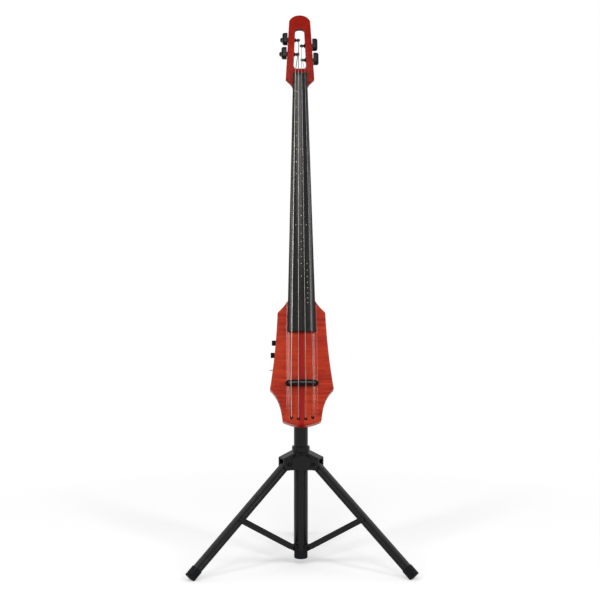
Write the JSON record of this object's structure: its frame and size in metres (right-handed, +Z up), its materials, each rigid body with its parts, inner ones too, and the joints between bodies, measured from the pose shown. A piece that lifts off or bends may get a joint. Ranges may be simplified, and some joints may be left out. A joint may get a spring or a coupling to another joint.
{
  "type": "electric cello on a tripod stand",
  "caption": "Slim solid-bodied electric cello with a fretless neck, strings, slotted head and side controls, tilted back on a folding tripod stand with a sliding hub.",
  "frame": {"origin": "on the floor, under the middle of the whole cello and its stand", "axes": "+Z up along the stand tube, -Y is the front that the strings face, +X is to the right as seen from the front"},
  "size_m": [0.4942, 0.4294, 1.2161],
  "materials": {
    "flamed_maple": "clear gloss over a red-brown stain",
    "head_maple": "clear gloss over a red-brown stain",
    "ebony": "oiled, satin",
    "black_plastic": "satin black moulding",
    "black_metal": "black, half gloss",
    "black_paint": "black powder coat",
    "steel": "bright",
    "rubber": "matt",
    "circuit_board": "solder mask",
    "saddle_grey": "polished"
  },
  "bodies": {
    "stand": {"stand_tube": "black_paint", "lower_hub": "black_plastic", "height_clamp": "black_plastic", "strut_pin_left": "steel", "strut_pin_right": "steel", "strut_pin_rear": "steel"},
    "mast": {"inner_tube": "black_paint", "tilt_head": "black_plastic", "tilt_bolt": "steel"},
    "instrument": {"body": "flamed_maple", "neck_and_head": "head_maple", "fingerboard": "ebony", "nut": "ebony", "bridge": "black_plastic", "bridge_saddle": "saddle_grey", "bridge_screw_left": "black_metal", "bridge_screw_right": "black_metal", "string_anchor_plate": "steel", "string_c": "steel", "string_g": "steel", "string_d": "steel", "string_a": "steel", "tuner_case_c": "black_metal", "tuner_case_g": "black_metal", "tuner_case_d": "black_metal", "tuner_case_a": "black_metal", "volume_pot": "steel", "tone_pot": "steel", "switch_case": "steel", "cavity_cover": "black_plastic", "preamp_board": "circuit_board", "output_jack": "steel", "tilt_bracket": "black_paint"},
    "hub": {"sliding_hub": "black_plastic", "leg_pin_left": "steel", "leg_pin_right": "steel", "leg_pin_rear": "steel"},
    "tilt_knob": {"tilt_knob": "black_plastic"},
    "height_knob": {"height_knob": "black_plastic"},
    "hub_knob": {"hub_knob": "black_plastic"},
    "volume_knob": {"volume_knob": "black_plastic"},
    "tone_knob": {"tone_knob": "black_plastic"},
    "switch_lever": {"switch_lever": "steel"},
    "post_c": {"tuner_post_c": "black_metal"},
    "key_c": {"tuner_key_c": "black_metal"},
    "post_g": {"tuner_post_g": "black_metal"},
    "key_g": {"tuner_key_g": "black_metal"},
    "post_d": {"tuner_post_d": "black_metal"},
    "key_d": {"tuner_key_d": "black_metal"},
    "post_a": {"tuner_post_a": "black_metal"},
    "key_a": {"tuner_key_a": "black_metal"},
    "leg_left": {"leg_left": "black_paint", "leg_foot_left": "rubber"},
    "strut_left": {"strut_left": "black_paint"},
    "leg_right": {"leg_right": "black_paint", "leg_foot_right": "rubber"},
    "strut_right": {"strut_right": "black_paint"},
    "leg_rear": {"leg_rear": "black_paint", "leg_foot_rear": "rubber"},
    "strut_rear": {"strut_rear": "black_paint"}
  },
  "joints": [
    {"name": "height_slide", "type": "slide", "parent": "stand", "child": "mast", "axis": [0, 0, 1], "range_m": [-0.03, 0.11]},
    {"name": "tilt", "type": "hinge", "parent": "mast", "child": "instrument", "pos_m": [0, -0.06713, 0.482], "axis": [-1, 0, 0], "range_deg": [-17, 18]},
    {"name": "tilt_knob_turn", "type": "hinge", "parent": "mast", "child": "tilt_knob", "pos_m": [0.023, -0.06713, 0.482], "axis": [1, 0, 0], "range_deg": [0, 270]},
    {"name": "height_knob_turn", "type": "hinge", "parent": "stand", "child": "height_knob", "pos_m": [0, -0.03313, 0.4158], "axis": [0, 1, 0], "range_deg": [0, 270]},
    {"name": "hub_slide", "type": "slide", "parent": "stand", "child": "hub", "axis": [0, 0, 1], "range_m": [0, 0.12485]},
    {"name": "hub_knob_turn", "type": "hinge", "parent": "hub", "child": "hub_knob", "pos_m": [0.02858, -0.05063, 0.229], "axis": [0.866, 0.5, 0], "range_deg": [0, 270]},
    {"name": "leg_left_fold", "type": "hinge", "parent": "hub", "child": "leg_left", "pos_m": [-0.03118, -0.08513, 0.226], "axis": [0.5, -0.866, 0], "range_deg": [0, 43.4]},
    {"name": "strut_left_fold", "type": "hinge", "parent": "stand", "child": "strut_left", "pos_m": [-0.01819, -0.07763, 0.0385], "axis": [-0.5, 0.866, 0], "range_deg": [0, 49.8]},
    {"name": "leg_right_fold", "type": "hinge", "parent": "hub", "child": "leg_right", "pos_m": [0.03118, -0.08513, 0.226], "axis": [0.5, 0.866, 0], "range_deg": [0, 43.4]},
    {"name": "strut_right_fold", "type": "hinge", "parent": "stand", "child": "strut_right", "pos_m": [0.01819, -0.07763, 0.0385], "axis": [-0.5, -0.866, 0], "range_deg": [0, 49.8]},
    {"name": "leg_rear_fold", "type": "hinge", "parent": "hub", "child": "leg_rear", "pos_m": [0, -0.03113, 0.226], "axis": [-1, 0, 0], "range_deg": [0, 43.4]},
    {"name": "strut_rear_fold", "type": "hinge", "parent": "stand", "child": "strut_rear", "pos_m": [0, -0.04613, 0.0385], "axis": [1, 0, 0], "range_deg": [0, 49.8]},
    {"name": "key_c_turn", "type": "hinge", "parent": "instrument", "child": "key_c", "pos_m": [-0.035, 0.05124, 1.13492], "axis": [0, 0.9563, -0.2924], "continuous": true},
    {"name": "post_c_turn", "type": "hinge", "parent": "instrument", "child": "post_c", "pos_m": [-0.01269, 0.04875, 1.12679], "axis": [1, 0, 0], "continuous": true},
    {"name": "key_g_turn", "type": "hinge", "parent": "instrument", "child": "key_g", "pos_m": [-0.03284, 0.06118, 1.16744], "axis": [0, 0.9563, -0.2924], "continuous": true},
    {"name": "post_g_turn", "type": "hinge", "parent": "instrument", "child": "post_g", "pos_m": [-0.01119, 0.05869, 1.15931], "axis": [1, 0, 0], "continuous": true},
    {"name": "key_d_turn", "type": "hinge", "parent": "instrument", "child": "key_d", "pos_m": [0.03369, 0.05723, 1.15453], "axis": [0, 0.9563, -0.2924], "continuous": true},
    {"name": "post_d_turn", "type": "hinge", "parent": "instrument", "child": "post_d", "pos_m": [0.01178, 0.05475, 1.1464], "axis": [1, 0, 0], "continuous": true},
    {"name": "key_a_turn", "type": "hinge", "parent": "instrument", "child": "key_a", "pos_m": [0.03586, 0.04729, 1.12201], "axis": [0, 0.9563, -0.2924], "continuous": true},
    {"name": "post_a_turn", "type": "hinge", "parent": "instrument", "child": "post_a", "pos_m": [0.01329, 0.0448, 1.11388], "axis": [1, 0, 0], "continuous": true},
    {"name": "volume_turn", "type": "hinge", "parent": "instrument", "child": "volume_knob", "pos_m": [-0.05, -0.12484, 0.49504], "axis": [-1, 0, 0], "range_deg": [-150, 150]},
    {"name": "tone_turn", "type": "hinge", "parent": "instrument", "child": "tone_knob", "pos_m": [-0.052, -0.13265, 0.46951], "axis": [-1, 0, 0], "range_deg": [-150, 150]},
    {"name": "switch_throw", "type": "hinge", "parent": "instrument", "child": "switch_lever", "pos_m": [-0.0574, -0.14215, 0.43843], "axis": [0, 0.9563, -0.2924], "range_deg": [-12, 12]}
  ],
  "couplings": [
    {"joint": "leg_left_fold", "follows": "hub_slide", "rad_per_m": 6.0531},
    {"joint": "strut_left_fold", "follows": "hub_slide", "rad_per_m": 6.9377},
    {"joint": "leg_right_fold", "follows": "hub_slide", "rad_per_m": 6.0531},
    {"joint": "strut_right_fold", "follows": "hub_slide", "rad_per_m": 6.9377},
    {"joint": "leg_rear_fold", "follows": "hub_slide", "rad_per_m": 6.0531},
    {"joint": "strut_rear_fold", "follows": "hub_slide", "rad_per_m": 6.9377},
    {"joint": "post_c_turn", "follows": "key_c_turn", "ratio": -0.083333},
    {"joint": "post_g_turn", "follows": "key_g_turn", "ratio": -0.083333},
    {"joint": "post_d_turn", "follows": "key_d_turn", "ratio": 0.083333},
    {"joint": "post_a_turn", "follows": "key_a_turn", "ratio": 0.083333}
  ]
}
